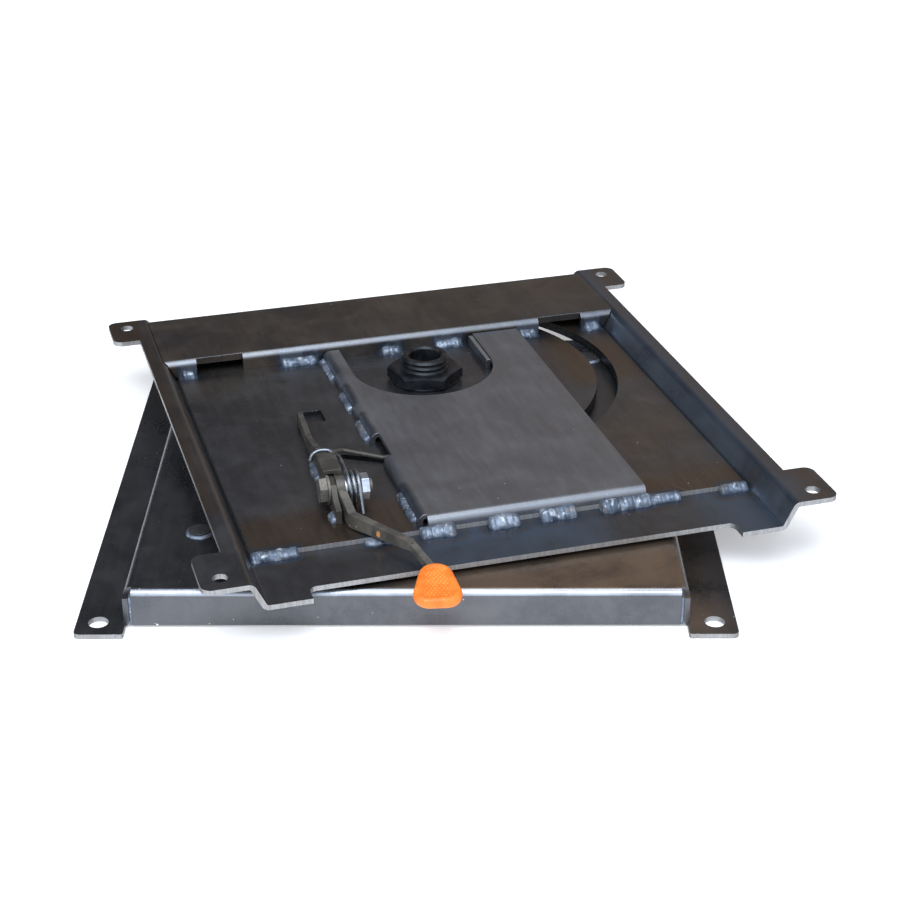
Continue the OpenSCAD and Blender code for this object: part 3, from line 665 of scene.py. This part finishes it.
bm = bmesh.new()
for i, b in enumerate(floor_beads):
    # The bead under the lever stays as low as the CAD's, clear of the bar
    under_lever = b[0].x < bar_hi.x and b[1].x > bar_lo.x
    room = b[1].z - b[0].z if under_lever else math.inf
    bead(bm, b, TURNED, ACROSS, fat=1.9, seed=i, longer=3 * MM, room=room)
keep("floor_weld_beads", bm, "turntable", [weld], ["floor_welds"])

bm = bmesh.new()
for i, b in enumerate(rail_beads):
    bead(bm, b, TURNED, ACROSS, fat=1.6, seed=10 + i)
keep("rail_weld_beads", bm, "turntable", [weld], ["rail_welds"])

bm = bmesh.new()
for i, b in enumerate(cover_front_beads):
    bead(bm, b, TURNED, ACROSS, fat=1.9, seed=20 + i, longer=2.5 * MM)
for i, b in enumerate(cover_side_beads):
    bead(bm, b, TURNED, FORE_AND_AFT, fat=1.3, seed=30 + i)
keep("cover_weld_beads", bm, "turntable", [weld], ["cover_welds"])

bm = bmesh.new()
for i, b in enumerate(bracket_beads):
    bead(bm, b, LEVER, FORE_AND_AFT, seed=40 + i)
keep("bracket_weld_beads", bm, "turntable", [weld], ["bracket_welds"])

for name in ("base_corner_welds", "glide_welds", "spigot_weld"):
    skin(name, [weld], 0.5 * MM)

# ---------------------------------------------------------------- pivot

skin("pivot_spigot", [black], 0.4 * MM)
skin("pivot_nut", [black], 0.6 * MM)
skin("pivot_washer", [black], 0.3 * MM)
skin("stop_stud", [black], 0.4 * MM)
skin("friction_ring", [plastic], 0.3 * MM)
skin("glide_pads", [plastic], 0.4 * MM)

# ---------------------------------------------------------------- lever

# The fleck of orange on the lever, in the lever's frame
FLECK_AT = Vector((18, -52, -8)) * MM

lever_paint = lever_steel("lever_steel", fleck=TURNED.inverted() @ (LEVER @ FLECK_AT))
skin("lever_bar", [lever_paint], 0.7 * MM)
skin("lever_stop", [steel_bracket], 0.5 * MM)
skin("lever_bolt", [bolt_steel], 0.3 * MM)
skin("bolt_washer", [bolt_steel], 0.25 * MM)
skin("spring_sleeve", [zinc], 0.25 * MM)
skin("lever_nut", [zinc], 0.4 * MM)
skin("lock_pin", [zinc], 0.3 * MM)


def wound_spring():
    """One wound wire: hook over the bracket, close coils round the sleeve, leg to the floor.

    Points are millimetres in the lever's frame, whose X axis is the lever bolt."""
    coil_r = 10.5
    wire_r = 1.45
    pitch = 3.3
    first_x = 5.85
    wound = 2 * 360 + 60
    bend_r = 5.0
    hook = ((-12.2, 38.8, 3.2), (-10.4, 39.4, 7.6), (-6.6, 40.0, 9.4), (-1.6, 40.0, 9.4),
            (2.4, 38.2, 9.0), (4.9, 33.6, 8.2), (first_x, 26.0, 9.6), (first_x, 12.0, coil_r),
            (first_x, 0.0, coil_r))
    path = rounded([Vector(p) for p in hook], bend_r)[:-1]
    for a in range(0, wound + 1, 8):
        t = math.radians(90 + a)
        path.append(Vector((first_x + pitch * a / 360, coil_r * math.cos(t), coil_r * math.sin(t))))
    last_x = path[-1].x
    path += [Vector((last_x, -14.5, -4.4)), Vector((last_x, -18.4, -11.0))]
    bm = bmesh.new()
    tube(bm, [LEVER @ (p * MM) for p in path], wire_r * MM)
    keep("wound_spring", bm, "turntable", [spring_wire], ["torsion_spring"], 60)


def bent_release_rod():
    """Rod from the lever through the cover's window to the lock pin.

    Its bends are millimetres in the turntable's frame."""
    rod_r = 1.7
    bend_r = 2.0
    bends = ((-104, -118.4, 45.4), (-99, -114, 44.2), (-91.3, -109.2, 42), (-65.6, -124, 39.6),
             (-3, -115, 39.4))
    path = rounded([Vector(p) for p in bends], bend_r)
    bm = bmesh.new()
    tube(bm, [TURNED @ (p * MM) for p in path], rod_r * MM)
    keep("bent_release_rod", bm, "lever", [steel_bracket], ["release_rod"], 60)


# ---------------------------------------------------------------- grip

# Sizes of the hand grip in millimetres: round small end at the stem, wider at the front
GRIP_L = 40.0
GRIP_W = 31.0
GRIP_TOP_R = 11.2
GRIP_LOW_R = 10.5
GRIP_HALF = 3.75
# Where the grip's small end sits on the lever, and how it is turned there
GRIP = (LEVER @ Matrix.Translation(Vector((44.4, -92.6, -13)) * MM)
        @ Matrix.Rotation(math.radians(-9.5), 4, "Z") @ Matrix.Rotation(math.radians(7), 4, "X"))


def arc(centre, radius, start, turn, steps=14):
    """Points along an arc."""
    angles = [start + turn * k / steps for k in range(steps + 1)]
    return [centre + radius * Vector((math.cos(a), math.sin(a))) for a in angles]


def grip_outline(inset):
    """Small round end, two wider corners and straight sides between them, drawn inset."""
    top_r = GRIP_TOP_R - inset
    low_r = GRIP_LOW_R - inset
    top = Vector((0, GRIP_L - GRIP_TOP_R))
    right = Vector((GRIP_W / 2 - GRIP_LOW_R, GRIP_LOW_R))
    left = Vector((-right.x, right.y))
    side = top - right
    tangent = math.atan2(side.y, side.x) - math.acos((low_r - top_r) / side.length)
    return (arc(top, top_r, tangent, math.pi - 2 * tangent)
            + arc(left, low_r, math.pi - tangent, math.pi / 2 + tangent)
            + arc(right, low_r, -math.pi / 2, math.pi / 2 + tangent))


def hand_grip():
    """Moulded grip: full round rim and a shallow panel on both faces."""
    rim = 3.0
    rim_steps = 8
    profile = []
    for k in range(rim_steps + 1):
        a = math.pi / 2 * k / rim_steps
        profile.append((rim * (1 - math.cos(a)), GRIP_HALF * math.sin(a) ** 0.75))
    profile += [(4.0, GRIP_HALF), (4.7, GRIP_HALF - 0.45), (7.0, GRIP_HALF - 0.4)]
    bm = bmesh.new()
    rings = []
    for inset, z in [(inset, -z) for inset, z in profile[:0:-1]] + profile:
        outline = grip_outline(inset)
        rings.append([bm.verts.new(GRIP @ (Vector((p.x, p.y - GRIP_L, z)) * MM)) for p in outline])
    join_rings(bm, rings)
    keep("hand_grip", bm, "lever", [orange], ["lever_grip"], 60)


def grip_dots():
    """Staggered rows of raised dots on the panel of the grip."""
    margin = 6.2
    gap = 2.6
    row_gap = 0.87 * gap
    dot_r = 0.62
    flatten = 0.75
    panel = GRIP_HALF - 0.42
    bm = bmesh.new()
    for row in range(14):
        y = margin + row * row_gap
        if y > GRIP_L - margin:
            break
        share = y / GRIP_L
        reach = (GRIP_W / 2 - margin) * (1 - share) + (GRIP_TOP_R - margin) * share
        for col in range(-5, 6):
            x = (col + 0.5 * (row % 2)) * gap
            if abs(x) > reach:
                continue
            spot = GRIP @ (Vector((x, y - GRIP_L, panel)) * MM)
            dot = bmesh.ops.create_uvsphere(bm, u_segments=10, v_segments=6, radius=dot_r * MM)
            bmesh.ops.scale(bm, verts=dot["verts"], vec=(1, 1, flatten))
            bmesh.ops.translate(bm, verts=dot["verts"], vec=spot)
    keep("grip_dots", bm, "lever", [orange_dots_painted_highlight], (), 60)


wound_spring()
bent_release_rod()
hand_grip()
grip_dots()

# ---------------------------------------------------------------- stage


def stage_floor():
    """Pale matt floor that gives back a little light."""
    bpy.ops.mesh.primitive_plane_add(size=FLOOR_SIZE, location=(0, 0, 0))
    floor = bpy.context.object
    floor.name = "studio_floor"
    m, n = material("studio_floor")
    grain = n.noise(n.coords(), 30.0, 3.0)
    color = n.mix(grain, rgb(0.90, 0.90, 0.90), rgb(0.93, 0.93, 0.93))
    p = n.surface(color, 0.7)
    p.inputs["Emission Color"].default_value = (1, 1, 1, 1)
    p.inputs["Emission Strength"].default_value = 0.3
    floor.data.materials.append(m)


def area_light(name, at, look, size, power, color):
    """Soft rectangular lamp aimed at a point."""
    data = bpy.data.lights.new(name, "AREA")
    data.shape = "RECTANGLE"
    data.size, data.size_y = size
    data.energy = power
    data.color = color
    obj = bpy.data.objects.new(name, data)
    obj.location = at
    obj.rotation_euler = (Vector(look) - Vector(at)).to_track_quat("-Z", "Y").to_euler()
    bpy.context.scene.collection.objects.link(obj)


def studio():
    """Bright soft front, dark back that is cool on the left and warm on the right."""
    world = bpy.data.worlds.new("studio")
    bpy.context.scene.world = world
    world.use_nodes = True
    n = Net(world.node_tree)
    t = n.add("ShaderNodeTexCoord")
    x, y, z = n.split(t.outputs["Generated"])
    side = n.step(x, -0.28, 0.28)
    back_low = n.mix(side, rgb(0.07, 0.075, 0.09), rgb(0.46, 0.37, 0.30))
    back = n.mix(n.step(z, 0.45, 0.95), back_low, rgb(0.42, 0.47, 0.54))
    front = n.mix(n.step(z, 0.1, 0.6), rgb(0.85, 0.88, 0.92), rgb(1.35, 1.5, 1.7))
    sky = n.mix(n.step(y, 0.15, -0.55), back, front)
    shine = n.add("ShaderNodeBackground")
    n.feed(shine.inputs["Color"], sky)
    shine.inputs["Strength"].default_value = 0.9
    out = n.add("ShaderNodeOutputWorld")
    n.feed(out.inputs["Surface"], shine.outputs[0])
    area_light("overhead", (0.1, -0.2, 1.9), (0, -0.1, 0), (1.0, 0.8), 8, (0.96, 0.98, 1.0))
    area_light("front_high", (-0.25, -1.25, 1.9), (0, -0.1, 0), (2.0, 0.9), 26, (0.93, 0.97, 1.0))
    area_light("left_fill", (-1.8, -0.5, 0.7), (0, -0.1, 0), (1.2, 0.8), 7, (1.0, 0.97, 0.93))


def camera():
    """Camera with the height, distance and tilt of the photograph."""
    data = bpy.data.cameras.new("camera")
    data.sensor_width = 36.0
    data.lens = 76.91
    cam = bpy.data.objects.new("camera", data)
    cam.location = (0.01647, -1.33616, 0.66061)
    cam.rotation_euler = (math.radians(62.84), 0.0, math.radians(-0.12))
    bpy.context.scene.collection.objects.link(cam)
    bpy.context.scene.camera = cam


stage_floor()
studio()
camera()
bpy.context.scene.view_settings.view_transform = "Standard"
